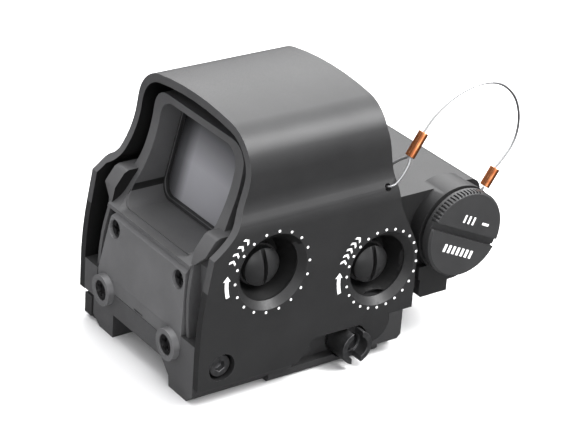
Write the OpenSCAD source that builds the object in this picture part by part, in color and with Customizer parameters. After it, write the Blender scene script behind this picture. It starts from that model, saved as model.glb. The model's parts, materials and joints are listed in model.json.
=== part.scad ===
// Compact reflex sight for a 21.2 mm accessory rail.
// +X is the shooter's right, +Y points down range, +Z is up.
// The origin is on the ceiling of the rail groove, 20 mm behind the cross bolt.

/* [Hood] */
// Width of the hood across its lower half
hood_w = 53; // [51:0.5:54]
// Height of the hood's crown above the rail
hood_top = 59.2; // [58:0.2:61]
// Thickness of the hood's wall
hood_wall = 2.1; // [1.6:0.1:2.4]
// Half width of the hood above its shoulder
upper_half = 24; // [23.5:0.1:24.4]

/* [Rail mount] */
// Width of the groove that takes the rail
groove_w = 21.5; // [21.3:0.1:22]
// Depth of the feet below the groove's ceiling
foot_depth = 6.1; // [5.8:0.1:6.5]
// Diameter of the cross bolt
bolt_d = 4.8; // [4.4:0.1:5]
// Outside diameter of the slotted nut
nut_d = 8.5; // [8:0.1:9]

/* [Window] */
// Half width of the window opening
window_half = 15.8; // [15:0.1:16]
// Lowest edge of the window opening
window_low = 26.4; // [26.2:0.1:27]
// Highest edge of the window opening
window_high = 51.4; // [51:0.1:51.6]

/* [Adjusters] */
// Radius of the adjuster wells at the hood's surface
well_r = 9.5; // [9:0.1:9.6]
// Diameter of the slotted adjuster heads
head_d = 9.4; // [9:0.1:10]

/* [Battery] */
// Diameter of the battery cell
cell_d = 17; // [16.5:0.1:17]
// Length of the battery cell
cell_l = 34.2; // [33.5:0.1:34.5]
// Radius of the battery cap
cap_r = 11; // [10.6:0.1:11.1]

/* [Tether] */
// Diameter of the tether's wire
wire_d = 0.6; // [0.6:0.1:0.9]

/* [Hidden] */
$fn = 48;
eps = 0.02;

// Hood outline
hood_half = hood_w / 2;
hood_low = -1.5;
hood_low_left = 0.7;
right_shoulder = [8, 34.9];
left_shoulder = [2.4, 32.9];
crown_r = 90;
corner_r = 10.5;
corner_x = upper_half - corner_r;
corner_a = acos(corner_x / (crown_r - corner_r));
corner_z = hood_top - crown_r + (crown_r - corner_r) * sin(corner_a);
inner_half = hood_half - hood_wall;

// Side view of the hood: the rear rake, its hollow sweep and the front edge
rear_y = -43;
hood_screw_at = [-36.7, 3.3];
sweep_r = 22.7;
sweep_y = -52.8;
sweep_z = 50.2;
sweep_z0 = 31.2;
top_front_y = 7.7;
low_front_y = 17.2;
arch_top = 4;
block_y0 = 5.5;
block_y1 = 14.6;
block_top = 4.9;
block_low = -2.8;
block_r = 5;

// Adjusters: places of the wells and, a little off their centres, of the heads
elevation_at = [-24.4, 24.7];
windage_at = [6.9, 17.7];
head_shift = [-0.2, -0.5];
elevation_axis = elevation_at + head_shift;
windage_axis = windage_at + head_shift;
chamfer = 1.6;
well_bore = well_r - chamfer;
well_floor = 19.2;
well_floor_r = 6;
seat_x = 16.2;
head_face = 24.2;
head_h = 3.4;
head_dome_r = 7.6;
shaft_d = 3.2;

// Housing
rib_out = 21.8;
rib_top = 33.8;
sill_z = 26.2;
rib_low_x = 19.2;
rib_top_x = 17.3;
rib_t = 1.1;
ledge_z = 9.2;
housing_front = 14.5;
windage_ledge = 10.3;
tunnel_half = 18.8;
tunnel_top = 53.2;
tunnel_front = 5.4;
frame_r = 37.6;
frame_y = -66.2;
frame_z = 52;
glass_y = -27;
glass_t = 1.6;
glass_tilt = 14;
retainer_t = 1.2;
front_glass_y = 2.6;
cavity_y0 = glass_y + glass_t;
cavity_front = 12.6;
plate_front = -37.2;

// Rear plate
plate_top = 25.1;
plate_low = 5.6;
plate_half_low = 18.4;
plate_half_top = 16.3;
upper_screw = [13.85, 21.1];
lower_screw = [14.45, 5.3];
collar_r = 3.85;
collar_y = -44.6;

// Clamp
bolt_z = -0.6;
bolt_ahead = 20;
jaw_half = 12;
jaw_face = -16.2;
pin_x = -21;
cam_e = 1.2;
cam_a = -30;
cam_r = 3.6;
lever_top = 0.2;
lever_out = -23.6;
lever_in = -20.6;
nut_face = 28.8;
hook_x = 8.2;

// Optics
pivot_y = -10;
pivot_z = 17;

// Battery box
box_front = 40;
box_rear = 14.8;
box_top = 31.7;
box_low = 5.4;
box_left = -22;
box_right = 20.4;
cap_y = 30.5;
cap_z = 21.6;
cap_face = 27.9;
cap_back = 25.2;
boss_r = 11.2;
boss_x = 24.2;
thread_r = 9.2;
thread_clear = 0.08;

// Buttons on the left side
button_y = [-20, -8, 4];
button_z = 16;
button_w = 8.4;
button_h = 6.6;

// The tether hangs in the plane of the cap's face and leans towards the hood.
tether_x = 24.7;
sleeve_hood_low = [tether_x, 13.5, 44.5];
sleeve_hood_high = [tether_x, 17, 49.9];
sleeve_cap_high = [tether_x, 40.2, 35.8];
sleeve_cap_low = [tether_x, 37.4, 31.6];
tether_hole = [7.2, 38.4];
tether_route = [
    sleeve_hood_high, [tether_x, 18.6, 52], [tether_x, 20.8, 54.2], [tether_x, 23.8, 56.3],
    [tether_x, 27.4, 57.9], [tether_x, 31.3, 58.8], [tether_x, 35.3, 58.8], [tether_x, 38.8, 57.8],
    [tether_x, 41.7, 55.8], [tether_x, 44, 53.1], [tether_x, 45.4, 49.8], [tether_x, 45.9, 46.3],
    [tether_x, 45.5, 43], [tether_x, 44.3, 40.3], [tether_x, 42.4, 38], sleeve_cap_high
];
// The loop through the hood: out of the crimp, in through the hole and back round the hood's edge
hood_loop = [
    sleeve_hood_low + [0.4, -0.13, -0.2], [25.6, 12.6, 42.8], [26.1, 10.6, 40.6], [26.2, 8.8, 39.1],
    [25.4, 7.5, 38.5], [23, 7.2, 38.4], [21.2, 7.4, 38.6], [20.6, 8.6, 39.4], [21, 10.4, 41],
    [22.6, 12.3, 43], sleeve_hood_low - [0.4, 0.13, 0.2]
];
// The short tail from the cap's crimp down to the loop in the cap's groove
cap_tail = [sleeve_cap_low - [0, 0.06, 0.1], [tether_x, 36.9, 31], [tether_x, 36.5, 30.5], [tether_x, 36.1, 30]];

// Points on an arc in a plane, from angle a0 to a1
function arc(c, r, a0, a1, n) = [for (k = [0:n]) let (a = a0 + (a1 - a0) * k / n) c + r * [cos(a), sin(a)]];

// Points on a cubic curve
function cubic(a, b, c, d, n) = [
    for (k = [0:n]) let (t = k / n, s = 1 - t)
        s * s * s * a + 3 * s * s * t * b + 3 * s * t * t * c + t * t * t * d
];

// A list of points from the right half of an outline and its mirror image
function both_sides(p) = concat(p, [for (k = [len(p) - 1:-1:0]) [-p[k][0], p[k][1]]]);

// Extrude an outline of [x, z] points along Y
module along_y(y0, y1) {
    translate([0, y1, 0]) rotate([90, 0, 0]) linear_extrude(y1 - y0) children();
}

// Extrude an outline of [y, z] points along X
module along_x(x0, x1) {
    translate([x0, 0, 0]) rotate([90, 0, 90]) linear_extrude(x1 - x0) children();
}

// A cylinder along X, Y or Z between two places
module rod_x(x0, x1, y, z, r) { translate([x0, y, z]) rotate([0, 90, 0]) cylinder(r = r, h = x1 - x0); }
module rod_y(y0, y1, x, z, r) { translate([x, y0, z]) rotate([-90, 0, 0]) cylinder(r = r, h = y1 - y0); }
module rod_z(z0, z1, x, y, r) { translate([x, y, z0]) cylinder(r = r, h = z1 - z0); }

// A box given by two corners
module block(a, b) { translate(a) cube(b - a); }

// A rectangle with round corners
module round_rect(w, h, r) {
    union() {
        square([w - 2 * r, h], center = true);
        square([w, h - 2 * r], center = true);
        for (x = [-1, 1], y = [-1, 1]) translate([x * (w / 2 - r), y * (h / 2 - r)]) circle(r = r);
    }
}

// Both sides of the sight
module mirrored() {
    children();
    mirror([1, 0, 0]) children();
}

// ---- Hood ----

// One side of the hood's outline, moved inwards by i, from low to the crown; shoulder is [radius, height]
function hood_side(i, low, shoulder) = let (
    r = shoulder[0], a = acos(1 - (hood_half - upper_half) / (2 * r)), z0 = shoulder[1], z1 = z0 + 2 * r * sin(a)
) concat(
    [[hood_half - i, low]],
    arc([hood_half - r, z0], r - i, 0, a, 6),
    arc([upper_half + r, z1], r + i, 180 + a, 180, 6),
    arc([corner_x, corner_z], corner_r - i, 0, corner_a, 8),
    arc([0, hood_top - crown_r], crown_r - i, corner_a, 90, 3)
);

// The whole outline: the right side up, then the left side down
function hood_outline(i, low) = let (left = hood_side(i, low, left_shoulder)) concat(
    hood_side(i, low, right_shoulder), [for (k = [len(left) - 1:-1:0]) [-left[k][0], left[k][1]]]
);

// Side view of the hood
hood_view = concat(
    [[rear_y, hood_low]],
    cubic([rear_y, 8], [rear_y, 18], [-41.5, 24], [-40.4, sweep_z0], 8),
    arc([sweep_y, sweep_z], sweep_r, -asin((sweep_z - sweep_z0) / sweep_r), 0, 14),
    [[sweep_y + sweep_r, hood_top + 2], [top_front_y, hood_top + 2], [top_front_y, 52.2]],
    cubic([10.8, 34.5], [11.5, 31], [16.6, 24], [low_front_y, 20.1], 8),
    [[low_front_y, block_top]],
    arc([block_y0, hood_low + block_r], block_r, asin((block_top - hood_low - block_r) / block_r), -90, 8),
    [[3.3, hood_low], [2.9, 3.2], [1.8, arch_top], [-10.8, arch_top], [-11.8, 3.4], [-15.4, hood_low]]
);

module well_cut(at) {
    rod_x(inner_half - 1, hood_half, at[0], at[1], well_bore);
    translate([hood_half - chamfer, at[0], at[1]]) rotate([0, 90, 0])
        cylinder(r1 = well_bore, r2 = well_r + chamfer, h = 2 * chamfer);
}

module hood() {
    color([0.16, 0.16, 0.17]) at_seat() difference() {
        union() {
            intersection() {
                along_y(rear_y, low_front_y) difference() {
                    polygon(hood_outline(0, hood_low));
                    polygon(hood_outline(hood_wall, hood_low - 1));
                }
                along_x(-hood_half, hood_half) polygon(hood_view);
            }
            mirrored() rod_x(inner_half - 2, inner_half + eps, hood_screw_at[0], hood_screw_at[1], 4.6);
        }
        block([-hood_half - 1, rear_y - 1, hood_low - 1], [-inner_half + 2.1, low_front_y, hood_low_left]);
        rod_x(inner_half - 1, hood_half + 1, 0, bolt_z, nut_d / 2 + 0.4);
        well_cut(elevation_at);
        well_cut(windage_at);
        mirrored() rod_x(inner_half - 1.4, hood_half + 1, hood_screw_at[0], hood_screw_at[1], 3.4);
        mirrored() rod_x(inner_half - 3, hood_half, hood_screw_at[0], hood_screw_at[1], 1.6);
        mirrored() rod_x(upper_half - 4, hood_half + 1, tether_hole[0], tether_hole[1], 0.9);
        along_x(-hood_half - 1, -inner_half + 1) translate([-8, button_z]) round_rect(37, 11.4, 3);
    }
}

// All places are measured from the cross bolt, which lies ahead of the frame's origin
module at_seat() { translate([0, bolt_ahead, 0]) children(); }

module screw(l, head_r, head_h, shank_r, socket) {
    // Points along +Z from the seat, with its head above
    difference() {
        union() {
            cylinder(r = head_r, h = head_h);
            translate([0, 0, -l]) cylinder(r = shank_r, h = l + eps);
        }
        if (socket == "hex") translate([0, 0, head_h - 1.4]) cylinder(r = 1.4, h = 2, $fn = 6);
        if (socket == "star") for (a = [0, 60, 120])
            translate([0, 0, head_h - 1 + 0.5]) rotate(a) cube([0.9, 3.4, 1.1], center = true);
        if (socket == "cross") for (a = [0, 90])
            translate([0, 0, head_h - 0.9 + 0.5]) rotate(a) cube([0.8, 3, 1], center = true);
    }
}

module hood_screws() {
    color([0.2, 0.2, 0.21]) at_seat() mirrored() translate([inner_half - 1.4, hood_screw_at[0], hood_screw_at[1]]) rotate([0, 90, 0])
        screw(5, 2.7, 2.6, 1.5, "hex");
}

// ---- Rail mount ----

foot = -foot_depth;
groove_half = groove_w / 2;
mount_half = inner_half - 0.05;

// End view of the mount, without its clamp
mount_view = [
    [-mount_half, ledge_z], [-mount_half, hood_low_left + 0.2], [-19.9, hood_low_left + 0.2], [-19.9, -4],
    [-16.8, foot], [-groove_half, foot], [-groove_half, 0], [groove_half, 0], [14.1, -3.4], [14.5, foot],
    [22, foot], [mount_half, -3.9], [mount_half, ledge_z]
];

module mount_block() {
    along_y(rear_y, block_y1) polygon(mount_view);
    // The fixed jaw hooks under the rail on the right
    along_y(-22, block_y0 + 4) polygon([
        [groove_half, 0], [groove_half, -2.9], [hook_x, -5.4], [hook_x, foot], [23.5, foot], [24.3, -5.3],
        [24.3, 0]
    ]);
    // The front corners stand out flush with the hood
    difference() {
        mirrored() along_x(mount_half - 4, hood_half - 0.05) difference() {
            polygon([
                [block_y0, block_low], [block_y1 - 1, block_low], [block_y1, block_low + 1],
                [block_y1, block_top - 0.1], [block_y0, block_top - 0.1]
            ]);
            translate([block_y0, hood_low + block_r]) circle(r = block_r + 0.1);
        }
        block([-hood_half - 1, 0, -8], [-mount_half, block_y1 + 1, hood_low_left + 0.4]);
    }
    // The tongue below the battery box
    block([-14, block_y1 - eps, 2.4], [14, 27, box_low]);
}

module base_mount() {
    color([0.2, 0.2, 0.21]) at_seat() difference() {
        mount_block();
        // Room for the moving jaw, the lever's cam and the bolt's eye
        block([-30, -jaw_half - 0.4, foot - 1], [-groove_half, jaw_half + 0.4, 0.4]);
        block([-30, -6.4, -eps], [-15.4, 6.4, 2.4]);
        // Channel for the cross bolt
        rod_x(-18, 30, 0, bolt_z, bolt_d / 2 + 0.06);
        // Recess around the slotted nut
        block([22, -15.6, -3.6], [30, 3.3, 4.3]);
        rod_x(21.2, 30, 0, bolt_z, nut_d / 2 + 0.4);
        // Pockets for the screws' bosses, the rear plate and its collars
        mirrored() rod_x(inner_half - 2.06, 30, hood_screw_at[0], hood_screw_at[1], 4.7);
        mirrored() rod_x(inner_half - 8.4, 30, hood_screw_at[0], hood_screw_at[1], 1.5);
        block([-plate_half_low - 0.1, rear_y - 1, plate_low], [plate_half_low + 0.1, plate_front, ledge_z + 1]);
        for (s = [-1, 1]) rod_y(rear_y - 1, -38, s * lower_screw[0], lower_screw[1], collar_r + 0.02);
        for (s = [-1, 1]) rod_y(-39, -30, s * lower_screw[0], lower_screw[1], 1.5);
        // Pocket for the circuit board and the yaw pivot's bore
        block([-17, -33, ledge_z - 4.4], [17, -19, ledge_z + 1]);
        rod_z(4, ledge_z + 1, 0, pivot_y, 2.05);
        // Holes for the battery box's screws
        for (s = [-1, 1]) rod_z(-1, 6, s * 10, 21, 1.3);
        for (s = [-1, 1]) rod_z(-1, 3.6, s * 10, 21, 2.8);
    }
}

module cross_bolt() {
    color([0.3, 0.3, 0.32]) at_seat() difference() {
        union() {
            rod_x(-18.5, 25, 0, bolt_z, bolt_d / 2);
            intersection() {
                rod_z(-2.2, 1, pin_x, 0, 4.1);
                block([-30, -1.85, -3], [-16.8, 1.85, 2]);
            }
        }
        rod_z(-4, 4, pin_x, 0, 1.25);
        // Flat above the lever's cam
        block([-30, -5, -4], [-15.9, 5, -2.2]);
    }
}

module lever_pin() {
    color([0.45, 0.45, 0.47]) at_seat() union() {
        rod_z(foot + 0.1, 1.1, pin_x, 0, 1.2);
        rod_z(1.1, 1.5, pin_x, 0, 2);
    }
}

module lever() {
    color([0.17, 0.17, 0.18]) at_seat() difference() {
        union() {
            rod_z(foot, -2.5, pin_x + cam_e * cos(cam_a), cam_e * sin(cam_a), cam_r);
            block([lever_out, -24, foot], [lever_in, 0, -2.5]);
            block([lever_out, -42, foot], [lever_in, -6.4, lever_top - 1]);
            block([lever_out, -43.2, foot + 1], [lever_in, -7.4, lever_top]);
        }
        rod_z(foot - 1, 2, pin_x, 0, 1.25);
        // The thumb scallop near the lever's tip
        rod_z(foot - 1, 2, lever_out - 7.4, -36, 8.2);
    }
}

module clamp_jaw() {
    color([0.2, 0.2, 0.21]) at_seat() difference() {
        along_y(-jaw_half, jaw_half) polygon([
            [-groove_half - 0.1, -0.3], [-groove_half - 0.1, -2.95], [-hook_x, -5.5], [-hook_x, foot],
            [jaw_face, foot], [jaw_face, -0.3]
        ]);
        rod_x(-30, 0, 0, bolt_z, bolt_d / 2 + 0.09);
    }
}

module bolt_washer() {
    color([0.5, 0.5, 0.5]) at_seat() difference() {
        rod_x(21.3, 22.3, 0, bolt_z, 4);
        rod_x(20, 24, 0, bolt_z, bolt_d / 2 + 0.05);
    }
}

module slotted_nut() {
    color([0.17, 0.17, 0.18]) at_seat() difference() {
        rod_x(22.4, nut_face, 0, bolt_z, nut_d / 2);
        rod_x(20, 30, 0, bolt_z, bolt_d / 2 + 0.05);
        rod_x(25.6, 30, 0, bolt_z, 2.9);
        translate([nut_face, 0, bolt_z]) cube([6.8, 2.6, 12], center = true);
    }
}

// ---- Optical housing ----

// End view of the housing's outside
housing_side = concat(
    [[rib_out, ledge_z], [rib_out, 27]],
    cubic([rib_out, 28], [20.4, 30.5], [tunnel_half, 34], [tunnel_half, 38.5], 6),
    arc([tunnel_half - 5, tunnel_top - 5], 5, 0, 90, 6)
);

// Side view of the window's sweep, in front of which the frame stands
module frame_view() {
    difference() {
        translate([-42, window_low - 2]) square([60, 40]);
        translate([frame_y, frame_z]) circle(r = frame_r, $fn = 120);
        translate([-60, frame_z]) square([60 + frame_y + frame_r, 20]);
    }
}

module opening_outline(inset) {
    translate([0, (window_low + window_high) / 2])
        round_rect(2 * (window_half - inset), window_high - window_low - 2 * inset, 4.4 - inset);
}

module well_boss(at) {
    rod_x(rib_out - 4, inner_half - 0.05, at[0], at[1], well_r + 0.8);
}

// A well narrows from the hood's wall to its floor
module adjuster_bores(at) {
    translate([well_floor, at[0], at[1]]) rotate([0, 90, 0])
        cylinder(r1 = well_floor_r, r2 = well_bore + 0.15, h = inner_half - well_floor);
    rod_x(7.8, 30, at[0] + head_shift[0], at[1] + head_shift[1], 3.4);
}

module optical_housing() {
    color([0.3, 0.3, 0.31]) at_seat() difference() {
        union() {
            difference() {
                along_y(-38.5, housing_front) polygon(both_sides(housing_side));
                // The tunnel ends before the lower body does, and its rear face sweeps forward
                block([-30, tunnel_front, 33.4], [30, 30, 60]);
                along_x(-30, 30) difference() {
                    translate([-50, window_low]) square([50, 40]);
                    frame_view();
                }
            }
            // The sill below the window, and the fillets between it and the frame's sides
            difference() {
                along_x(-rib_top_x - 0.6, rib_top_x + 0.6) polygon(concat(
                    [[-30, 24], [-30, 34], [-33.8, 33]],
                    cubic([-35.4, 30.8], [-36.8, 28.4], [-38.6, 27], [-41, sill_z], 6),
                    [[-41.2, sill_z - 0.8], [-37, sill_z - 0.8]]
                ));
                along_y(-60, 0) translate([0, sill_z + 13]) round_rect(2 * window_half, 26, 3.4);
                block([-30, -60, sill_z + 8], [30, 0, 60]);
            }
            // The side walls reach back beside the rear plate
            mirrored() intersection() {
                along_x(0, rib_out) polygon(concat(
                    [[-38, ledge_z], [rear_y + 1, ledge_z], [rear_y + 1, 14]],
                    cubic([rear_y + 1.2, 18], [-41.4, 22], [-40.6, 25], [-39.6, 30], 4),
                    [[-37.2, rib_top - 0.6], [-36, rib_top], [-30, rib_top], [-30, ledge_z]]
                ));
                along_y(-60, 0) polygon([
                    [rib_low_x, ledge_z], [rib_low_x + rib_t, ledge_z], [rib_top_x + rib_t, sill_z + 0.4],
                    [rib_out, rib_top - 4], [rib_out, rib_top], [rib_top_x, rib_top], [rib_top_x, sill_z]
                ]);
            }
            intersection() {
                well_boss(elevation_at);
                along_y(-60, housing_front) polygon(hood_outline(hood_wall + 0.03, ledge_z));
            }
            intersection() {
                well_boss(windage_at);
                along_y(-60, housing_front) polygon(hood_outline(hood_wall + 0.03, windage_ledge));
            }
        }
        // The rear wall steps in behind the plate, up to the sill
        along_y(rear_y - 2, plate_front) polygon(both_sides([
            [rib_low_x, 0], [rib_low_x, ledge_z], [rib_top_x, sill_z - 0.8]
        ]));
        // Window opening and the cavity for the optics
        along_y(-60, 40) opening_outline(0);
        along_y(cavity_y0, tunnel_front - 1.5) opening_outline(0);
        block([-window_half, cavity_y0, 0], [window_half, tunnel_front - 1.4, 40]);
        block([-17, -18, 0], [17, -2.6, 24]);
        block([-17, -33, 0], [window_half, cavity_front, 12]);
        // Adjuster wells
        adjuster_bores(elevation_at);
        adjuster_bores(windage_at);
        // Window of the front, above the battery box
        block([-14, -1, 0], [17.4, cavity_front, 15]);
        // Holes for the rear plate's screws
        for (s = [-1, 1]) rod_y(-40, -32, s * upper_screw[0], upper_screw[1], 1.2);
        // Groove rings cut in the elevation adjuster's well
        for (k = [0:2]) translate([21 + k, elevation_at[0], elevation_at[1]]) rotate([0, 90, 0])
            rotate_extrude() translate([7.1 + k * 0.52, 0]) circle(r = 0.3, $fn = 16);
        // Seats for the push buttons' switch board
        along_x(-rib_out - 1, -rib_out + 0.9) translate([-8, button_z]) square([38, 11], center = true);
    }
}

module rear_plate() {
    color([0.33, 0.33, 0.34]) at_seat() difference() {
        union() {
            intersection() {
                along_y(rear_y, plate_front) polygon(concat(
                    [[-plate_half_low, plate_low], [plate_half_low, plate_low], [plate_half_low, ledge_z]],
                    [[plate_half_top, plate_top]],
                    arc([-plate_half_top + 2.6, plate_top - 2.6], 2.6, 90, 178, 6),
                    [[-plate_half_low, ledge_z]]
                ));
                // The face leans forward, with a chamfer below the sill
                along_x(-30, 30) polygon([
                    [rear_y + 0.1, plate_low], [rear_y + 0.1, ledge_z], [-41.2, plate_top - 1.4],
                    [-39.8, plate_top], [plate_front, plate_top], [plate_front, plate_low]
                ]);
            }
            for (s = [-1, 1]) rod_y(collar_y, -38.1, s * lower_screw[0], lower_screw[1], collar_r);
        }
        for (s = [-1, 1]) {
            rod_y(collar_y - 1, collar_y + 1.6, s * lower_screw[0], lower_screw[1], 2.55);
            rod_y(collar_y, -36, s * lower_screw[0], lower_screw[1], 1.4);
            rod_y(rear_y - 1, -39.6, s * upper_screw[0], upper_screw[1], 2.3);
            rod_y(rear_y, -36, s * upper_screw[0], upper_screw[1], 1.2);
        }
        // Drain slit at the plate's lower edge
        block([-1.8, rear_y - 1, plate_low + 0.2], [2, -41.6, plate_low + 0.7]);
    }
}

module plate_screws() {
    color([0.5, 0.5, 0.52]) at_seat() for (s = [-1, 1]) translate([s * upper_screw[0], -39.6, upper_screw[1]])
        rotate([90, 0, 0]) screw(6, 2.1, 1.2, 1.1, "cross");
}

module collar_screws() {
    color([0.45, 0.45, 0.47]) at_seat() for (s = [-1, 1]) translate([s * lower_screw[0], collar_y + 1.6, lower_screw[1]])
        rotate([90, 0, 0]) screw(10, 2.4, 1.3, 1.35, "star");
}

// A slab between two depths that leans like the rear pane, its top away from the eye
module glass_slab(front, back) {
    translate([-30, glass_y, window_low]) rotate([-glass_tilt, 0, 0]) translate([0, front, -10])
        cube([60, back - front, 50]);
}

module rear_retainer() {
    color([0.12, 0.12, 0.13]) at_seat() intersection() {
        along_y(-40, -10) difference() {
            opening_outline(0.03);
            translate([0, 0.3]) opening_outline(0.7);
        }
        glass_slab(-retainer_t, 0);
    }
}

module rear_glass() {
    color([0.55, 0.6, 0.66, 0.6]) at_seat() intersection() {
        along_y(-40, -10) opening_outline(0.03);
        glass_slab(0, glass_t);
    }
}

module front_glass() {
    color([0.5, 0.55, 0.6, 0.5]) at_seat() along_y(front_glass_y, front_glass_y + 1.6)
        translate([0, 40.2]) round_rect(30.4, 17, 3);
}

module front_bezel() {
    color([0.14, 0.14, 0.15]) at_seat() difference() {
        along_y(front_glass_y - 0.8, tunnel_front + 0.8) translate([0, 40.2]) round_rect(31.4, 18, 3.4);
        along_y(front_glass_y - 2, front_glass_y + 1.6) translate([0, 40.2]) round_rect(30.44, 17.04, 3);
        along_y(front_glass_y, tunnel_front + 2) translate([0, 40.2]) round_rect(28, 14.6, 2.6);
    }
}

// ---- Adjusters ----

module adjuster(at, tilt) {
    difference() {
        union() {
            intersection() {
                rod_x(head_face - head_h, head_face, at[0], at[1], head_d / 2);
                translate([head_face - head_dome_r, at[0], at[1]]) sphere(r = head_dome_r, $fn = 64);
            }
            rod_x(well_floor + 0.3, head_face - head_h + eps, at[0], at[1], head_d / 2 + 0.5);
            rod_x(8.6, well_floor + 1, at[0], at[1], shaft_d / 2);
        }
        translate([head_face, at[0], at[1]]) rotate([tilt, 0, 0]) cube([3.4, 1.1, head_d + 1], center = true);
    }
}

module bush(at) {
    difference() {
        rod_x(seat_x, well_floor - 0.6, at[0], at[1], 3.38);
        rod_x(8, 30, at[0], at[1], shaft_d / 2 + 0.06);
    }
}

// The wedge rides along the adjuster's thread as the adjuster turns
module wedge(at) {
    difference() {
        intersection() {
            rod_x(9.4, 12.8, at[0], at[1], 2.6);
            block([0, at[0] - 2.2, at[1] - 2.5], [30, at[0] + 2.2, at[1] + 1.3]);
        }
        rod_x(8, 30, at[0], at[1], shaft_d / 2 + 0.08);
    }
}

module elevation_adjuster() { color([0.13, 0.13, 0.14]) at_seat() adjuster(elevation_axis, 4); }
module windage_adjuster() { color([0.13, 0.13, 0.14]) at_seat() adjuster(windage_axis, -3); }
module elevation_bush() { color("darkgoldenrod") at_seat() bush(elevation_axis); }
module windage_bush() { color("darkgoldenrod") at_seat() bush(windage_axis); }
module elevation_wedge() { color("silver") at_seat() wedge(elevation_axis); }
module windage_wedge() { color("silver") at_seat() wedge(windage_axis); }

// A ring seals each adjuster's shaft at the floor of its well
module adjuster_seals() {
    color([0.08, 0.08, 0.08]) at_seat() for (at = [elevation_axis, windage_axis]) difference() {
        rod_x(well_floor - 0.6, well_floor + 0.1, at[0], at[1], 3.36);
        rod_x(well_floor - 1, well_floor + 1, at[0], at[1], shaft_d / 2 + 0.1);
    }
}

// ---- Optics on their gimbal ----

module yaw_yoke() {
    color("gray") at_seat() difference() {
        union() {
            rod_z(5, 11, 0, pivot_y, 2);
            block([-10.5, pivot_y - 3, 10.4], [10.5, pivot_y + 3, 12.8]);
            for (s = [-1, 1]) block([s * 9 - 1.5, pivot_y - 3, 12], [s * 9 + 1.5, pivot_y + 3, 19.6]);
        }
        rod_x(-12, 12, pivot_y, pivot_z, 1.21);
    }
}

module cradle_pin() {
    color("silver") at_seat() rod_x(-10.4, 10.4, pivot_y, pivot_z, 1.2);
}

module cradle_outline(inset) {
    translate([0, 38]) round_rect(29 - 2 * inset, 20.4 - 2 * inset, 2.4 - inset / 2);
}

module lens_cradle() {
    color([0.1, 0.1, 0.1]) at_seat() difference() {
        union() {
            difference() {
                along_y(-18.2, 0.6) cradle_outline(0);
                along_y(-30, 5) cradle_outline(1.5);
            }
            block([-6.8, pivot_y - 2.6, 14], [6.8, pivot_y + 2.6, 28.6]);
            block([-4, -18.2, 25.4], [4, pivot_y, 28.6]);
        }
        rod_x(-12, 12, pivot_y, pivot_z, 1.24);
    }
}

// The curved reflector leans so that it returns the emitter's light to the eye
module reflex_lens() {
    color([0.45, 0.35, 0.35, 0.5]) at_seat() intersection() {
        along_y(-30, 5) cradle_outline(1.52);
        translate([0, -3.4, 38]) rotate([-8, 0, 0]) along_y(-1, 1)
            square([40, 40], center = true);
    }
}

module led_holder() {
    color([0.15, 0.15, 0.15]) at_seat() difference() {
        block([-2.6, -18.1, 29.3], [2.6, -14.1, 32.2]);
        translate([0, -16.1, 31.2]) rotate([-58, 0, 0]) cylinder(r = 1.02, h = 6, center = true);
    }
}

module led_emitter() {
    color("firebrick") at_seat() translate([0, -16.1, 31.2]) rotate([-58, 0, 0]) union() {
        translate([0, 0, -1.6]) cylinder(r = 1, h = 2.6);
        translate([0, 0, 1]) sphere(r = 0.98, $fn = 24);
    }
}

// ---- Electronics ----

board_z = ledge_z - 4.4;
module circuit_board() {
    color("darkgreen") at_seat() difference() {
        block([-16.6, -32.6, board_z], [16.6, -19.4, board_z + 1.2]);
        for (s = [-1, 1]) rod_z(0, 12, s * 14.4, -26, 1.1);
    }
}

module board_parts() {
    color([0.1, 0.1, 0.1]) at_seat() union() {
        block([-5, -29, board_z + 1.2], [1, -23, board_z + 2.6]);
        block([4, -30, board_z + 1.2], [7, -27.6, board_z + 2.2]);
        block([4, -25, board_z + 1.2], [8.4, -22, board_z + 2.8]);
        for (y = [-30.6, -28, -25.4]) block([-11, y, board_z + 1.2], [-9, y + 1.2, board_z + 2]);
    }
}

module board_screws() {
    color("silver") at_seat() for (s = [-1, 1]) translate([s * 14.4, -26, board_z + 1.2])
        screw(1.2, 1.7, 1, 1, "cross");
}

module button_bezel() {
    color([0.12, 0.12, 0.13]) at_seat() difference() {
        along_x(-hood_half - 0.5, -inner_half + 0.4) translate([-8, button_z]) round_rect(36.8, 11.2, 2.9);
        for (y = button_y) along_x(-hood_half - 2, -inner_half + 2) translate([y, button_z])
            round_rect(button_w + 0.5, button_h + 0.5, 1.7);
    }
}

module button(y) {
    along_x(-hood_half - 1.4, -inner_half + 0.6) translate([y, button_z])
        round_rect(button_w, button_h, 1.5);
}

// Raised symbols on the button faces: a plus, a minus and a ring
module plus_mark(y) {
    along_x(-hood_half - 1.7, -hood_half - 1.3) translate([y, button_z]) union() {
        square([3.2, 0.8], center = true);
        square([0.8, 3.2], center = true);
    }
}

module up_button() {
    color([0.2, 0.2, 0.2]) at_seat() union() {
        button(button_y[2]);
        plus_mark(button_y[2]);
    }
}

module mode_button() {
    color([0.2, 0.2, 0.2]) at_seat() union() {
        button(button_y[1]);
        along_x(-hood_half - 1.7, -hood_half - 1.3) translate([button_y[1], button_z]) difference() {
            circle(r = 1.7);
            circle(r = 1);
        }
    }
}

module down_button() {
    color([0.2, 0.2, 0.2]) at_seat() union() {
        button(button_y[0]);
        along_x(-hood_half - 1.7, -hood_half - 1.3) translate([button_y[0], button_z])
            square([3.2, 0.8], center = true);
    }
}

module switch_board() {
    color("darkgreen") at_seat() along_x(-rib_out + 0.1, -rib_out + 0.9) translate([-8, button_z])
        square([37.6, 10.6], center = true);
}

module dome_switches() {
    color("silver") at_seat() for (y = button_y) rod_x(-rib_out - 0.5, -rib_out + 0.1, y, button_z, 2.4);
}

// ---- Battery box, cell and cap ----

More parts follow.
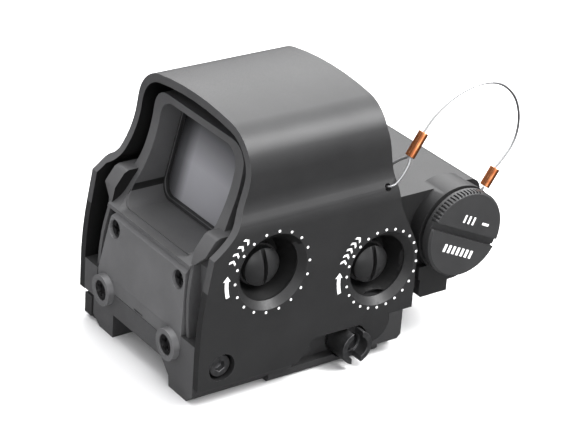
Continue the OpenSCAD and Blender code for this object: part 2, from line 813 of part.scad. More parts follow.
module box_view() {
    union() {
        translate([box_rear, box_low]) square([box_front - box_rear - 6, box_top - box_low]);
        translate([box_rear, box_low + 6]) square([box_front - box_rear - 3.4, box_top - box_low - 6]);
        translate([box_rear, box_low + 6]) square([box_front - box_rear, box_top - box_low - 9.4]);
        translate([box_front - 3.4, box_top - 3.4]) circle(r = 3.4);
        translate([box_front - 6, box_low + 6]) circle(r = 6);
    }
}

module battery_box() {
    color([0.22, 0.22, 0.23]) at_seat() difference() {
        union() {
            along_x(box_left, box_right) box_view();
            rod_x(box_right - 4, boss_x, cap_y, cap_z, boss_r);
            // The flat toe below the boss
            along_x(box_right - 8, 22) polygon([
                [23.4, 3.6], [31.4, 3.6], [31.4, 12], [22.2, 12], [22.2, 8.6], [22.8, 8.6], [22.8, 4.2]
            ]);
        }
        // The cell's bore, and the wider threaded mouth for the cap
        rod_x(-18.6, 30, cap_y, cap_z, cell_d / 2 + 0.3);
        rod_x(16.8, 30, cap_y, cap_z, thread_r + thread_clear);
        rod_x(22.6, 30, cap_y, cap_z, thread_r + 0.7);
        // Holes for the screws from the mount's tongue
        for (s = [-1, 1]) rod_z(0, 10, s * 10, 21, 1.2);
        // Relief above the mount's tongue
        block([-14.1, 0, 0], [14.1, 27.1, box_low + 0.02]);
    }
}

module box_screws() {
    color([0.3, 0.3, 0.32]) at_seat() for (s = [-1, 1]) translate([s * 10, 21, 3.6]) mirror([0, 0, 1])
        screw(6, 2.6, 1, 1.15, "cross");
}

cell_x0 = -17.2;
module battery_cell() {
    color("royalblue") at_seat() union() {
        rod_x(cell_x0, cell_x0 + cell_l - 1.2, cap_y, cap_z, cell_d / 2);
        rod_x(cell_x0 + cell_l - 1.3, cell_x0 + cell_l, cap_y, cap_z, 3.2);
    }
}

module cell_contact() {
    color("gold") at_seat() rod_x(-18.6, -18.1, cap_y, cap_z, 7);
}

module contact_spring() {
    color("silver") at_seat() rod_x(-18.1, cell_x0, cap_y, cap_z, 3.4);
}

module cap_seal() {
    color([0.08, 0.08, 0.08]) at_seat() difference() {
        rod_x(22.64, 23.7, cap_y, cap_z, thread_r + 0.66);
        rod_x(20, 30, cap_y, cap_z, thread_r + thread_clear);
    }
}

module battery_cap() {
    color([0.19, 0.19, 0.2]) at_seat() difference() {
        union() {
            rod_x(cap_back, cap_face - 0.5, cap_y, cap_z, cap_r);
            translate([cap_face - 0.52, cap_y, cap_z]) rotate([0, 90, 0]) cylinder(r1 = cap_r, r2 = cap_r - 0.5, h = 0.52);
            rod_x(18.4, cap_back + eps, cap_y, cap_z, thread_r);
        }
        rod_x(17, cap_face - 2.6, cap_y, cap_z, thread_r - 1.6);
        // Coin slot across the face
        translate([cap_face, cap_y, cap_z]) rotate([-25, 0, 0]) cube([2.2, 2 * cap_r + 2, 1.9], center = true);
        // Two knurled arcs on the rim, above and below the slot
        for (s = [0, 180], k = [0:15]) translate([cap_face - 0.7, cap_y, cap_z])
            rotate([s + 72 + k * 5.2, 0, 0]) translate([0, cap_r, 0]) cube([2.6, 0.9, 0.5], center = true);
    }
}

module cap_contact() {
    color("gold") at_seat() rod_x(17.2, cap_face - 2.6, cap_y, cap_z, 3);
}

// ---- Tether ----

// The wire's loop lies in the groove behind the cap's rim
module tether_ring() {
    color([0.75, 0.75, 0.77]) at_seat() translate([cap_back - 0.5, cap_y, cap_z]) rotate([0, 90, 0])
        rotate_extrude() translate([thread_r + 0.1 + wire_d / 2, 0]) circle(r = wire_d / 2, $fn = 16);
}

// A crimp sleeve pressed round two strands, from a to b
module sleeve(a, b) {
    v = b - a;
    translate(a) rotate([0, acos(v[2] / norm(v)), atan2(v[1], v[0])]) for (s = [-1, 1])
        translate([0, s * 0.45, 0]) cylinder(r = 0.9, h = norm(v), $fn = 24);
}

function unit(v) = v / norm(v);

// A smooth curve through points p, with n steps between each two
function smooth(p, n) = concat([
    for (k = [0:len(p) - 2], j = [0:n - 1]) let (
        a = p[max(k - 1, 0)], b = p[k], c = p[k + 1], d = p[min(k + 2, len(p) - 1)], t = j / n
    ) 0.5 * (2 * b + (c - a) * t + (2 * a - 5 * b + 4 * c - d) * t * t + (3 * b - a - 3 * c + d) * t * t * t)
], [p[len(p) - 1]]);

// A wire swept along a path with eight sides; side is a direction that the path never takes
module wire(path, side) {
    count = len(path);
    rings = [for (k = [0:count - 1]) let (
        v = unit(path[min(k + 1, count - 1)] - path[max(k - 1, 0)]),
        u = unit(cross(side, v)), w = cross(v, u)
    ) for (a = [0:45:315]) path[k] + wire_d / 2 * (cos(a) * u + sin(a) * w)];
    polyhedron(points = rings, faces = concat(
        [[for (a = [0:7]) a]], [[for (a = [7:-1:0]) (count - 1) * 8 + a]],
        [for (k = [0:count - 2], a = [0:7]) let (b = (a + 1) % 8)
            [k * 8 + b, k * 8 + a, (k + 1) * 8 + a, (k + 1) * 8 + b]]
    ));
}

module tether_wire() { color([0.75, 0.75, 0.77]) at_seat() wire(smooth(tether_route, 2), [1, 0, 0]); }
module tether_hood_loop() { color([0.75, 0.75, 0.77]) at_seat() wire(smooth(hood_loop, 2), [0, 1, -1]); }
module tether_cap_tail() { color([0.75, 0.75, 0.77]) at_seat() wire(cap_tail, [1, 0, 0]); }
module hood_sleeve() { color([0.85, 0.45, 0.2]) at_seat() sleeve(sleeve_hood_low, sleeve_hood_high); }
module cap_sleeve() { color([0.85, 0.45, 0.2]) at_seat() sleeve(sleeve_cap_low, sleeve_cap_high); }

hood();
base_mount();
optical_housing();
rear_plate();
plate_screws();
collar_screws();
hood_screws();
rear_retainer();
rear_glass();
front_glass();
front_bezel();
elevation_bush();
windage_bush();
adjuster_seals();
elevation_adjuster();
windage_adjuster();
elevation_wedge();
windage_wedge();
yaw_yoke();
cradle_pin();
lens_cradle();
reflex_lens();
led_holder();
led_emitter();
circuit_board();
board_parts();
board_screws();
battery_box();
box_screws();
battery_cell();
cell_contact();
contact_spring();
cap_seal();
battery_cap();
cap_contact();
tether_ring();
tether_hood_loop();
hood_sleeve();
tether_wire();
cap_sleeve();
tether_cap_tail();
cross_bolt();
bolt_washer();
slotted_nut();
clamp_jaw();
lever();
lever_pin();
button_bezel();
up_button();
mode_button();
down_button();
switch_board();
dome_switches();
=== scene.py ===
"""The looks of the compact reflex sight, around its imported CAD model. Units are metres."""
import json
import math
import bmesh
import bpy
from mathutils import Matrix, Vector


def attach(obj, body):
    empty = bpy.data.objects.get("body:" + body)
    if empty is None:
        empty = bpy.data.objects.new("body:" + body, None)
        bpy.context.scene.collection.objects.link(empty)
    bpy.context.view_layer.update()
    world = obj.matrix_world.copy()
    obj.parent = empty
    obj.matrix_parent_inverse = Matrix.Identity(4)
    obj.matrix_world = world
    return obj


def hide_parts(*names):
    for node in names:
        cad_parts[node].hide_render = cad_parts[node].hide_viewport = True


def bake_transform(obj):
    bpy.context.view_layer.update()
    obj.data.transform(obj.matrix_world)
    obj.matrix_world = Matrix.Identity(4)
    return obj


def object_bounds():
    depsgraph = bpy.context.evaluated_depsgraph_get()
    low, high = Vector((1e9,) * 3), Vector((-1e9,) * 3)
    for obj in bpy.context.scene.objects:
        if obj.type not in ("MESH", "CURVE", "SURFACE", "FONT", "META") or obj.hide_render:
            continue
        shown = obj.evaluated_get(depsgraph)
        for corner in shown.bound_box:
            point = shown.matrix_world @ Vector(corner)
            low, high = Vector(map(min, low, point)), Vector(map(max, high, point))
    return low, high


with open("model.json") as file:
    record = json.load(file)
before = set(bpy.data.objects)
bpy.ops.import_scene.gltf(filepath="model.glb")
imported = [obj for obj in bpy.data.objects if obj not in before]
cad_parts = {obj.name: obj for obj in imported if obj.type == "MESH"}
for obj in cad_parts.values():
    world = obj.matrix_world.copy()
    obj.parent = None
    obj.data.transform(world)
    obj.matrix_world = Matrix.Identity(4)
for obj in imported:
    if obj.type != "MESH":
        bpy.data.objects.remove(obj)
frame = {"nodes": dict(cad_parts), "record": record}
cad_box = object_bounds()
MM = 0.001
BODY_OF = {node: body for body, nodes in frame["record"]["behaviour"]["bodies"].items() for node in nodes}


# ---- Camera, lights and floor ----

VIEW_AZIMUTH = 53.51
VIEW_ELEVATION = 26.85
VIEW_ROLL = 4.13
LENS_MM = 138.2
CAMERA_AT = Vector((0.37523, -0.25997, 0.25625))
LOW_SKY = 0.12
MID_SKY = 0.45
SKY_STRENGTH = 0.9
TOP_POWER = 6.8
BACK_POWER = 4.4
CORNER_POWER = 5
SIDE_POWER = 1.1
# Brightness of the painted reflection on the rear pane.
PANE_PAINTED_REFLECTION = 0.34
PANEL_CORNERS = 16
EDGE_ROUNDING = 0.15
SHARP_ANGLE = 40


def make_camera():
    """The camera looks down at the sight from behind its right side."""
    az, el = math.radians(VIEW_AZIMUTH), math.radians(VIEW_ELEVATION)
    forward = Vector((-math.sin(az) * math.cos(el), math.cos(az) * math.cos(el), -math.sin(el)))
    right = forward.cross(Vector((0, 0, 1))).normalized()
    up = right.cross(forward)
    basis = Matrix((right, up, -forward)).transposed() @ Matrix.Rotation(math.radians(VIEW_ROLL), 3, "Z")
    data = bpy.data.cameras.new("camera")
    data.lens = LENS_MM
    data.clip_start = 0.01
    camera = bpy.data.objects.new("camera", data)
    camera.matrix_world = Matrix.Translation(CAMERA_AT) @ basis.to_4x4()
    bpy.context.collection.objects.link(camera)
    bpy.context.scene.camera = camera


def make_light(name, at, target, size, power, colour=(1, 1, 1)):
    """A square soft box at a place, turned towards a target."""
    data = bpy.data.lights.new(name, "AREA")
    data.shape = "RECTANGLE"
    data.size, data.size_y = size
    data.energy = power
    data.color = colour
    light = bpy.data.objects.new(name, data)
    light.location = at
    light.rotation_euler = (Vector(target) - Vector(at)).to_track_quat("-Z", "Y").to_euler()
    bpy.context.collection.objects.link(light)
    return light


def make_studio():
    """Soft light from a bright ceiling and backdrop; the ground below the horizon is dim in reflections."""
    world = bpy.data.worlds.new("studio")
    world.use_nodes = True
    tree = world.node_tree
    back = tree.nodes["Background"]
    coords = tree.nodes.new("ShaderNodeTexCoord")
    split = tree.nodes.new("ShaderNodeSeparateXYZ")
    tree.links.new(coords.outputs["Generated"], split.inputs["Vector"])
    spread = tree.nodes.new("ShaderNodeMapRange")
    spread.inputs["From Min"].default_value = -1.0
    tree.links.new(split.outputs["Z"], spread.inputs["Value"])
    sky = ramp(tree, spread.outputs["Result"], [
        (0.0, grey(LOW_SKY)), (0.36, grey(LOW_SKY)), (0.5, grey(MID_SKY)), (0.62, grey(1.0)),
    ])
    tree.links.new(sky, back.inputs["Color"])
    back.inputs["Strength"].default_value = SKY_STRENGTH
    bpy.context.scene.world = world
    make_light("top_box", (-0.05, 0.15, 0.7), (0, 0, 0.03), (0.9, 0.7), TOP_POWER)
    make_light("back_box", (-0.55, 0.55, 0.5), (0, 0, 0.05), (0.8, 0.5), BACK_POWER)
    make_light("corner_box", (0.32, 0.37, 0.55), (0, 0.02, 0.04), (0.22, 0.4), CORNER_POWER)
    make_light("side_box", (0.7, -0.25, 0.3), (0, 0, 0.02), (0.4, 0.4), SIDE_POWER)
    bpy.context.scene.view_settings.view_transform = "Standard"
    bpy.ops.mesh.primitive_plane_add(size=6, location=(0, 0, cad_box[0][2]))
    floor = bpy.context.object
    floor.name = "floor"
    floor.visible_glossy = False
    floor.data.materials.append(plain_floor())


# ---- Materials ----

def new_material(name):
    material = bpy.data.materials.new(name)
    material.use_nodes = True
    tree = material.node_tree
    return material, tree, tree.nodes["Principled BSDF"]


def add(tree, kind, **values):
    """A node with some of its properties and inputs set."""
    node = tree.nodes.new(kind)
    for key, value in values.items():
        if key in node.inputs:
            node.inputs[key].default_value = value
        else:
            setattr(node, key, value)
    return node


def object_noise(tree, scale, detail=4.0, roughness=0.6, stretch=(1, 1, 1)):
    """Noise in the object's own space, so it stays put when the piece moves."""
    coords = tree.nodes.new("ShaderNodeTexCoord")
    mapping = tree.nodes.new("ShaderNodeMapping")
    mapping.inputs["Scale"].default_value = stretch
    noise = tree.nodes.new("ShaderNodeTexNoise")
    noise.inputs["Scale"].default_value = scale
    noise.inputs["Detail"].default_value = detail
    noise.inputs["Roughness"].default_value = roughness
    tree.links.new(coords.outputs["Object"], mapping.inputs["Vector"])
    tree.links.new(mapping.outputs["Vector"], noise.inputs["Vector"])
    return noise.outputs["Fac"]


def ramp(tree, factor, stops):
    """A colour ramp with (place, grey or colour) stops."""
    node = tree.nodes.new("ShaderNodeValToRGB")
    points = node.color_ramp.elements
    for k, (place, value) in enumerate(stops):
        point = points[k] if k < 2 else points.new(place)
        point.position = place
        point.color = value if len(value) == 4 else (*value, 1)
    tree.links.new(factor, node.inputs["Fac"])
    return node.outputs["Color"]


def grey(value):
    return (value, value, value * 1.02)


def bump(tree, shader, height, strength, distance):
    node = tree.nodes.new("ShaderNodeBump")
    node.inputs["Strength"].default_value = strength
    node.inputs["Distance"].default_value = distance
    tree.links.new(height, node.inputs["Height"])
    tree.links.new(node.outputs["Normal"], shader.inputs["Normal"])


def anodised(name, value, roughness, grain=5200):
    """Blasted and anodised aluminium: fine grain and faint mottling."""
    material, tree, shader = new_material(name)
    shader.inputs["Metallic"].default_value = 0.35
    shader.inputs["Specular IOR Level"].default_value = 0.5
    fine = object_noise(tree, grain, 2)
    broad = object_noise(tree, 90, 5)
    mottled = ramp(tree, broad, [(0.3, grey(value * 0.9)), (0.7, grey(value * 1.12))])
    tree.links.new(mottled, shader.inputs["Base Color"])
    rough = ramp(tree, fine, [(0.35, grey(roughness - 0.05)), (0.65, grey(roughness + 0.06))])
    tree.links.new(rough, shader.inputs["Roughness"])
    bump(tree, shader, fine, 0.25, 0.00004)
    return material


def steel(name, value, roughness, scale=900, stretch=(1, 1, 1)):
    """Turned or drawn steel with fine lines and small changes of shine."""
    material, tree, shader = new_material(name)
    shader.inputs["Metallic"].default_value = 1.0
    lines = object_noise(tree, scale, 6, 0.7, stretch)
    tint = ramp(tree, lines, [(0.3, grey(value * 0.8)), (0.7, grey(value * 1.15))])
    tree.links.new(tint, shader.inputs["Base Color"])
    rough = ramp(tree, lines, [(0.3, grey(roughness - 0.06)), (0.7, grey(roughness + 0.1))])
    tree.links.new(rough, shader.inputs["Roughness"])
    bump(tree, shader, lines, 0.2, 0.00003)
    return material


def tinted_metal(name, dark, light, roughness):
    """Copper, brass or gold with a faint tarnish."""
    material, tree, shader = new_material(name)
    shader.inputs["Metallic"].default_value = 1.0
    stain = object_noise(tree, 700, 5)
    tree.links.new(ramp(tree, stain, [(0.35, dark), (0.65, light)]), shader.inputs["Base Color"])
    rough = ramp(tree, stain, [(0.3, grey(roughness + 0.12)), (0.7, grey(roughness - 0.04))])
    tree.links.new(rough, shader.inputs["Roughness"])
    bump(tree, shader, stain, 0.15, 0.00003)
    return material


def soft_solid(name, dark, light, roughness, scale=1500, depth=0.00003):
    """Rubber or moulded plastic with a fine texture."""
    material, tree, shader = new_material(name)
    texture = object_noise(tree, scale, 4)
    tree.links.new(ramp(tree, texture, [(0.35, dark), (0.65, light)]), shader.inputs["Base Color"])
    rough = ramp(tree, texture, [(0.3, grey(roughness - 0.08)), (0.7, grey(roughness + 0.08))])
    tree.links.new(rough, shader.inputs["Roughness"])
    bump(tree, shader, texture, 0.3, depth)
    return material


def coated_glass(name, tint, roughness, alpha, metallic=0.0):
    """Glass whose coating returns part of the light; a faint film varies its shine."""
    material, tree, shader = new_material(name)
    film = object_noise(tree, 60, 3)
    colour = ramp(tree, film, [(0.3, tint), (0.7, tuple(c * 0.93 for c in tint))])
    tree.links.new(colour, shader.inputs["Base Color"])
    rough = ramp(tree, film, [(0.3, grey(roughness)), (0.7, grey(roughness + 0.03))])
    tree.links.new(rough, shader.inputs["Roughness"])
    shader.inputs["Metallic"].default_value = metallic
    shader.inputs["IOR"].default_value = 1.52
    shader.inputs["Alpha"].default_value = alpha
    return material


def shaded_pane(name):
    """The rear pane: a painted reflection of a pale wall, with painted shade over its top and left edges."""
    material, tree, shader = new_material(name)
    coords = tree.nodes.new("ShaderNodeTexCoord")
    split = tree.nodes.new("ShaderNodeSeparateXYZ")
    tree.links.new(coords.outputs["Object"], split.inputs["Vector"])
    shades = []
    # Painted shade that darkens the pane's top and left edges.
    for axis, low, high, stops in (
        ("Z", 0.026, 0.052, [(0.0, grey(1.0)), (0.42, grey(1.0)), (0.66, grey(0.45)), (0.86, grey(0.04))]),
        ("X", -0.016, 0.016, [(0.0, grey(0.05)), (0.12, grey(0.3)), (0.24, grey(1.0)), (0.95, grey(0.74))]),
    ):
        spread = add(tree, "ShaderNodeMapRange")
        spread.inputs["From Min"].default_value = low
        spread.inputs["From Max"].default_value = high
        tree.links.new(split.outputs[axis], spread.inputs["Value"])
        shades.append(ramp(tree, spread.outputs["Result"], stops))
    both = add(tree, "ShaderNodeMix", data_type="RGBA", blend_type="MULTIPLY")
    both.inputs["Factor"].default_value = 1.0
    tree.links.new(shades[0], both.inputs[6])
    tree.links.new(shades[1], both.inputs[7])
    # The painted reflection of a pale wall, at a set brightness with a faint film.
    film = ramp(tree, object_noise(tree, 60, 3), [(0.3, grey(PANE_PAINTED_REFLECTION)), (0.7, grey(PANE_PAINTED_REFLECTION * 0.93))])
    tinted = add(tree, "ShaderNodeMix", data_type="RGBA", blend_type="MULTIPLY")
    tinted.inputs["Factor"].default_value = 1.0
    tree.links.new(both.outputs[2], tinted.inputs[6])
    tree.links.new(film, tinted.inputs[7])
    tree.links.new(tinted.outputs[2], shader.inputs["Base Color"])
    rough = ramp(tree, object_noise(tree, 200, 3), [(0.3, grey(0.05)), (0.7, grey(0.09))])
    tree.links.new(rough, shader.inputs["Roughness"])
    shader.inputs["IOR"].default_value = 1.45
    shader.inputs["Specular IOR Level"].default_value = 0.12
    return material


def white_paint():
    """Marking paint, slightly uneven."""
    return soft_solid("white_paint", (0.8, 0.8, 0.8), (0.95, 0.95, 0.95), 0.55, 3000)


def plain_floor():
    material, tree, shader = new_material("pale_floor")
    shader.inputs["Base Color"].default_value = (0.9, 0.9, 0.9, 1)
    shader.inputs["Roughness"].default_value = 0.7
    return material


# ---- Carried-over CAD pieces ----

def smooth_by_angle(mesh, angle):
    """Shade smooth, with sharp edges only where faces meet at more than the angle."""
    mesh.shade_smooth()
    mesh.set_sharp_from_angle(angle=math.radians(angle))


def carry(node, material, bevel, segments=2, angle=32):
    """A finished copy of a CAD node: clean faces, small round edges and a material."""
    source = frame["nodes"][node]
    mesh = source.data.copy()
    mesh.name = node + ".mesh"
    work = bmesh.new()
    work.from_mesh(mesh)
    bmesh.ops.remove_doubles(work, verts=work.verts, dist=0.000004)
    bmesh.ops.dissolve_limit(
        work, angle_limit=math.radians(0.6), verts=work.verts, edges=work.edges, delimit={"NORMAL"}
    )
    work.to_mesh(mesh)
    work.free()
    mesh.materials.clear()
    mesh.materials.append(material)
    # Bevel faces get a lighter copy of the material: partly rubbed wear, partly a painted highlight.
    edge_wear_and_highlight = EDGE_WEAR_AND_HIGHLIGHT.get(material.name)
    if edge_wear_and_highlight:
        mesh.materials.append(edge_wear_and_highlight)
    piece = bpy.data.objects.new(node + ".fine", mesh)
    bpy.context.collection.objects.link(piece)
    if bevel:
        rounding = piece.modifiers.new("rounding", "BEVEL")
        rounding.width = bevel * MM
        rounding.segments = segments
        rounding.limit_method = "ANGLE"
        rounding.angle_limit = math.radians(angle)
        rounding.use_clamp_overlap = True
        rounding.miter_outer = "MITER_ARC"
        rounding.material = 1 if edge_wear_and_highlight else -1
        apply_modifiers(piece)
    smooth_by_angle(piece.data, SHARP_ANGLE)
    even = piece.modifiers.new("even", "WEIGHTED_NORMAL")
    even.keep_sharp = True
    even.weight = 100
    apply_modifiers(piece)
    flatten_panels(piece.data)
    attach(piece, BODY_OF[node])
    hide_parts(node)
    return piece


def flatten_panels(mesh):
    """Flat faces with many corners keep their own normal, so that no streaks run from their cut-outs."""
    normals = [Vector(corner.vector) for corner in mesh.corner_normals]
    for face in mesh.polygons:
        if len(face.vertices) > PANEL_CORNERS:
            for k in face.loop_indices:
                normals[k] = face.normal.copy()
    mesh.normals_split_custom_set(normals)


def apply_modifiers(piece):
    graph = bpy.context.evaluated_depsgraph_get()
    mesh = bpy.data.meshes.new_from_object(piece.evaluated_get(graph))
    piece.modifiers.clear()
    piece.data = mesh


# ---- Painted marks ----

def place(x, y, z):
    """A place measured in millimetres from the cross bolt, in the frame's metres."""
    return Vector((x, y + BOLT_AHEAD, z)) * MM


def polar(centre, radius, angle):
    """A (y, z) point around a centre, with the angle in degrees from +Y towards +Z."""
    a = math.radians(angle)
    return (centre[0] + radius * math.cos(a), centre[1] + radius * math.sin(a))


def disc(centre, radius, sides=20):
    return [polar(centre, radius, 360 * k / sides) for k in range(sides)]


def curved_bar(centre, radius, width, a0, a1, steps=12):
    """A bar that follows an arc."""
    angles = [a0 + (a1 - a0) * k / steps for k in range(steps + 1)]
    return [polar(centre, radius - width / 2, a) for a in angles] + [
        polar(centre, radius + width / 2, a) for a in reversed(angles)
    ]


def painted(name, outlines, x, body, thickness=0.04):
    """Flat painted shapes on a face that looks along +X, each with its slightly raised film."""
    mesh = bpy.data.meshes.new(name)
    verts, faces = [], []
    for outline in outlines:
        n, first = len(outline), len(verts)
        for depth in (x - 0.02, x + thickness):
            verts += [place(depth, y, z) for y, z in outline]
        faces.append([first + n + k for k in range(n)])
        faces.append([first + n - 1 - k for k in range(n)])
        faces += [[first + k, first + (k + 1) % n, first + n + (k + 1) % n, first + n + k] for k in range(n)]
    mesh.from_pydata(verts, [], faces)
    work = bmesh.new()
    work.from_mesh(mesh)
    bmesh.ops.recalc_face_normals(work, faces=work.faces)
    work.to_mesh(mesh)
    work.free()
    mesh.materials.append(PAINT)
    piece = bpy.data.objects.new(name, mesh)
    bpy.context.collection.objects.link(piece)
    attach(piece, body)
    return piece


def dial_marks(centre, count, first, chevrons, spread):
    """The ring of dots round a well, its curved arrow and a row of chevrons beyond the arrow."""
    shapes = [disc(polar(centre, DOT_RING_R, first + 360 * k / count), DOT_R) for k in range(count)]
    shapes.append(curved_bar(centre, ARROW_R, ARROW_WIDTH, 196.5, 176.8))
    shapes.append([
        polar(centre, ARROW_R - 1, 177), polar(centre, ARROW_R, 171), polar(centre, ARROW_R + 1, 177)
    ])
    for k in range(chevrons):
        a = spread[0] + (spread[1] - spread[0]) * k / (chevrons - 1)
        shapes.append([
            polar(centre, ARROW_R - 1.1, a + 2.2), polar(centre, ARROW_R - 1.1, a - 0.6),
            polar(centre, ARROW_R - 0.2, a - 3.6), polar(centre, ARROW_R + 0.7, a - 0.6),
            polar(centre, ARROW_R + 0.7, a + 2.2), polar(centre, ARROW_R - 0.2, a - 0.8),
        ])
    return shapes


def turned(shapes, angle):
    """Shapes turned about the cap's axis, then moved to it."""
    c, s = math.cos(math.radians(angle)), math.sin(math.radians(angle))
    return [[(CAP_AT[0] + y * c - z * s, CAP_AT[1] + y * s + z * c) for y, z in shape] for shape in shapes]


def box_shape(y0, z0, y1, z1):
    return [(y0, z0), (y1, z0), (y1, z1), (y0, z1)]


BOLT_AHEAD = 20
DOT_RING_R = 10.15
DOT_R = 0.33
ARROW_R = 12.4
ARROW_WIDTH = 0.95
WELL_R = 9.6
ELEVATION_AT = (-24.4, 24.7)
WINDAGE_AT = (6.9, 17.7)
SIDE_X = 26.5
CAP_AT = (30.5, 21.6)
CAP_X = 27.9
CAP_TURN = -25
WINDOW_HALF = 15.8
WINDOW_HIGH = 51.4


# ---- Tether ----

def curve_through(points, steps):
    """A smooth line through points."""
    line = []
    for k in range(len(points) - 1):
        a, b, c, d = points[max(k - 1, 0)], points[k], points[k + 1], points[min(k + 2, len(points) - 1)]
        for j in range(steps):
            t = j / steps
            line.append(0.5 * (2 * b + (c - a) * t + (2 * a - 5 * b + 4 * c - d) * t * t
                               + (3 * b - a - 3 * c + d) * t ** 3))
    return line + [points[-1]]


def strand_tube(name, line, radius, material, side, strands=7, sides=42, lay=0.35):
    """A stranded steel wire along a line: its lobes wind round it once every few diameters."""
    verts, faces, run = [], [], 0.0
    for k, at in enumerate(line):
        ahead = (line[min(k + 1, len(line) - 1)] - line[max(k - 1, 0)]).normalized()
        across = side.cross(ahead).normalized()
        up = ahead.cross(across)
        if k:
            run += (at - line[k - 1]).length
        for j in range(sides):
            a = 2 * math.pi * j / sides
            lobe = abs(math.sin(strands / 2 * a - math.pi * run / (lay * MM * 10) * strands / 2))
            r = radius * (0.8 + 0.2 * math.sqrt(lobe))
            verts.append(at + r * (math.cos(a) * across + math.sin(a) * up))
    for k in range(len(line) - 1):
        for j in range(sides):
            i = (j + 1) % sides
            faces.append([k * sides + j, k * sides + i, (k + 1) * sides + i, (k + 1) * sides + j])
    faces.append(list(range(sides - 1, -1, -1)))
    faces.append([(len(line) - 1) * sides + j for j in range(sides)])
    mesh = bpy.data.meshes.new(name)
    mesh.from_pydata(verts, [], faces)
    mesh.materials.append(material)
    mesh.shade_smooth()
    piece = bpy.data.objects.new(name, mesh)
    bpy.context.collection.objects.link(piece)
    return piece


# ---- Groups of faces that differ from the rest of their node: painted shade and painted light ----

def repaint(node, material, test):
    """Give the faces that pass a test of centre (in mm from the bolt) and normal another material."""
    mesh = bpy.data.objects[node + ".fine"].data
    mesh.materials.append(material)
    slot = len(mesh.materials) - 1
    for face in mesh.polygons:
        x, y, z = face.center / MM
        if test(x, y - BOLT_AHEAD, z, face.normal):
            face.material_index = slot


def in_well(x, y, z, normal):
    return x > 17 and min(math.hypot(y - at[0], z - at[1]) for at in (ELEVATION_AT, WINDAGE_AT)) < WELL_R


def window_wall(x, y, z, normal):
    """The walls round the pane, but not the sill under it."""
    inside = abs(x) < WINDOW_HALF + 2 and 27 < z < WINDOW_HIGH + 0.2
    return inside and abs(normal.y) < 0.5 and normal.z < 0.3 and x * normal.x < 1 and y < -24


def inner_side(x, y, z, normal):
    """The hood's inner faces."""
    return x * normal.x < -1 or (normal.z < -0.3 and z > 30)


def rear_rim(x, y, z, normal):
    """The hood's rear edge, above the plate."""
    return normal.y < -0.55 and y < -25 and z > 24


def rear_end(x, y, z, normal):
    """The faces that look back, below the plate."""
    return normal.y < -0.6 and y < -36


make_camera()
make_studio()

HOOD = anodised("hood_black", 0.028, 0.42)
GREY = anodised("housing_grey", 0.1, 0.45)
PLATE = anodised("plate_grey", 0.15, 0.42)
DARK = anodised("mount_black", 0.045, 0.45)
# A lighter copy of the mount black, for painted light on faces that look back.
MOUNT_PAINTED_LIGHT = anodised("mount_painted_light", 0.1, 0.45)
# A lighter copy of the hood black, for painted light on the hood's rear rim.
RIM_PAINTED_LIGHT = anodised("rim_painted_light", 0.085, 0.4)
BOX = anodised("box_black", 0.027, 0.45)
HEAD = anodised("adjuster_black", 0.03, 0.38)
HARDWARE = steel("hardware_grey", 0.22, 0.4)
STEEL = steel("bright_steel", 0.6, 0.25)
WIRE = steel("wire_steel", 0.62, 0.32, 4000)
BLACK_STEEL = steel("black_steel", 0.09, 0.35)
BRASS = tinted_metal("brass", (0.4, 0.27, 0.09), (0.65, 0.47, 0.2), 0.3)
GOLD = tinted_metal("gold_plate", (0.75, 0.5, 0.15), (0.95, 0.7, 0.3), 0.22)
COPPER = tinted_metal("copper", (0.52, 0.16, 0.06), (0.8, 0.32, 0.14), 0.25)
RUBBER = soft_solid("black_rubber", (0.012, 0.012, 0.012), (0.025, 0.025, 0.025), 0.7)
PLASTIC = soft_solid("black_plastic", (0.014, 0.014, 0.015), (0.026, 0.026, 0.027), 0.5)
BOARD = soft_solid("solder_mask", (0.01, 0.1, 0.035), (0.02, 0.16, 0.05), 0.35)
WRAP = soft_solid("cell_wrap", (0.05, 0.08, 0.25), (0.08, 0.12, 0.35), 0.3)
RED = soft_solid("red_lens", (0.4, 0.01, 0.01), (0.65, 0.03, 0.02), 0.15)
# The rear pane's colour holds a painted reflection and painted shade.
PANE_PAINTED_LIGHT = shaded_pane("pane_painted_reflection")
LENS = coated_glass("reflector", (0.5, 0.35, 0.33), 0.02, 0.55, 0.6)
CLEAR = coated_glass("front_pane", (0.6, 0.65, 0.7), 0.02, 0.35, 0.3)
PAINT = white_paint()
# Near-black for painted shade in recesses and under the hood.
PAINTED_SHADE = anodised("painted_shade_black", 0.008, 0.5)
# Lighter copies for the rounded edges: partly rubbed wear, partly a painted highlight.
EDGE_WEAR_AND_HIGHLIGHT = {
    "hood_black": anodised("hood_edge", 0.07, 0.4), "housing_grey": anodised("housing_edge", 0.13, 0.42),
    "plate_grey": anodised("plate_edge", 0.17, 0.4), "mount_black": anodised("mount_edge", 0.08, 0.42),
    "box_black": anodised("box_edge", 0.06, 0.42), "adjuster_black": anodised("adjuster_edge", 0.07, 0.36),
}

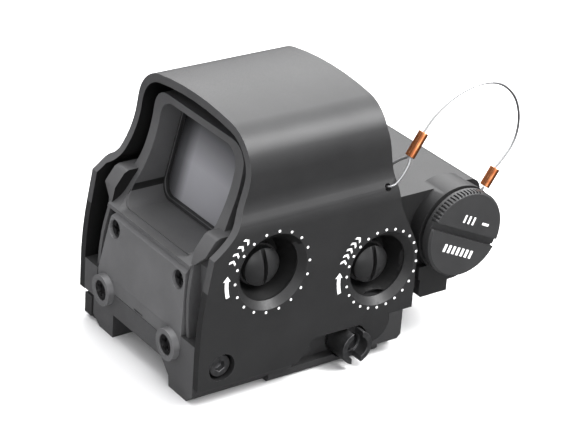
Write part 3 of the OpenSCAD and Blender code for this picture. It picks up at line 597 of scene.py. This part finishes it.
MATERIALS = {
    "hood": HOOD, "base_mount": DARK, "optical_housing": GREY, "rear_plate": PLATE, "plate_screws": BLACK_STEEL,
    "collar_screws": BLACK_STEEL, "hood_screws": HARDWARE, "rear_retainer": HEAD, "rear_glass": PANE_PAINTED_LIGHT,
    "front_glass": CLEAR, "front_bezel": DARK, "elevation_bush": BRASS, "windage_bush": BRASS,
    "adjuster_seals": RUBBER, "elevation_adjuster": HEAD, "windage_adjuster": HEAD, "elevation_wedge": STEEL,
    "windage_wedge": STEEL, "yaw_yoke": GREY, "cradle_pin": STEEL, "lens_cradle": PLASTIC, "reflex_lens": LENS,
    "led_holder": PLASTIC, "led_emitter": RED, "circuit_board": BOARD, "board_parts": PLASTIC,
    "board_screws": STEEL, "battery_box": BOX, "box_screws": BLACK_STEEL, "battery_cell": WRAP,
    "cell_contact": GOLD, "contact_spring": STEEL, "cap_seal": RUBBER, "battery_cap": DARK,
    "cap_contact": GOLD, "tether_ring": STEEL, "hood_sleeve": COPPER,
    "cap_sleeve": COPPER, "tether_cap_tail": STEEL, "cross_bolt": BLACK_STEEL,
    "bolt_washer": STEEL, "slotted_nut": HARDWARE, "clamp_jaw": DARK, "lever": DARK, "lever_pin": STEEL,
    "button_bezel": PLASTIC, "up_button": RUBBER, "mode_button": RUBBER, "down_button": RUBBER,
    "switch_board": BOARD, "dome_switches": STEEL,
}
NO_BEVEL = {"tether_ring", "tether_cap_tail"}
for node, material in MATERIALS.items():
    carry(node, material, 0 if node in NO_BEVEL else EDGE_ROUNDING)

# Painted shade: near-black inside the adjuster wells and on the walls round the pane.
repaint("optical_housing", PAINTED_SHADE, in_well)
repaint("optical_housing", PAINTED_SHADE, window_wall)
# Painted shade on the hood's inner faces and the underside of its roof.
repaint("hood", PAINTED_SHADE, inner_side)
# Painted light: a lighter copy of the hood's black on its rear rim.
repaint("hood", RIM_PAINTED_LIGHT, rear_rim)
# Painted light: a lighter copy of the mount's black on its rear-facing faces below the plate.
repaint("base_mount", MOUNT_PAINTED_LIGHT, rear_end)

elevation_marks = dial_marks(ELEVATION_AT, 18, 103.55, 4, (156, 129))
windage_marks = dial_marks(WINDAGE_AT, 24, 117.78, 5, (159, 129))
painted("side_marks", elevation_marks + windage_marks, SIDE_X, "root")
cap_marks = [box_shape(3.6, 3.4, 5.8, 4.0)]
cap_marks += [box_shape(-2.8 + k * 1.5, 2.7, -2.2 + k * 1.5, 4.7) for k in range(3)]
cap_marks += [box_shape(-5 + k * 1.5, -5.4, -4.2 + k * 1.5, -3.4) for k in range(7)]
painted("cap_marks", turned(cap_marks, CAP_TURN), CAP_X, "cap")

TETHER_X = 24.7
WIRE_D = 0.6
ROUTE = [place(TETHER_X, y, z) for y, z in (
    (17, 49.9), (18.6, 52), (20.8, 54.2), (23.8, 56.3), (27.4, 57.9), (31.3, 58.8), (35.3, 58.8), (38.8, 57.8),
    (41.7, 55.8), (44, 53.1), (45.4, 49.8), (45.9, 46.3), (45.5, 43), (44.3, 40.3), (42.4, 38), (40.2, 35.8),
)]
tether_line = curve_through(ROUTE, 16)
tether = strand_tube("tether_wire.fine", tether_line, WIRE_D / 2 * MM, WIRE, Vector((1, 0, 0)))
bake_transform(tether)
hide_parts("tether_wire")
HOOD_LOOP = [place(*p) for p in (
    (25.1, 13.37, 44.3), (25.6, 12.6, 42.8), (26.1, 10.6, 40.6), (26.2, 8.8, 39.1), (25.4, 7.5, 38.5),
    (23, 7.2, 38.4), (21.2, 7.4, 38.6), (20.6, 8.6, 39.4), (21, 10.4, 41), (22.6, 12.3, 43), (24.3,
    13.37, 44.3),
)]
loop_line = curve_through(HOOD_LOOP, 10)
hood_loop = strand_tube("tether_hood_loop.fine", loop_line, WIRE_D / 2 * MM, WIRE, Vector((0, 1, -1)))
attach(hood_loop, "root")
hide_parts("tether_hood_loop")
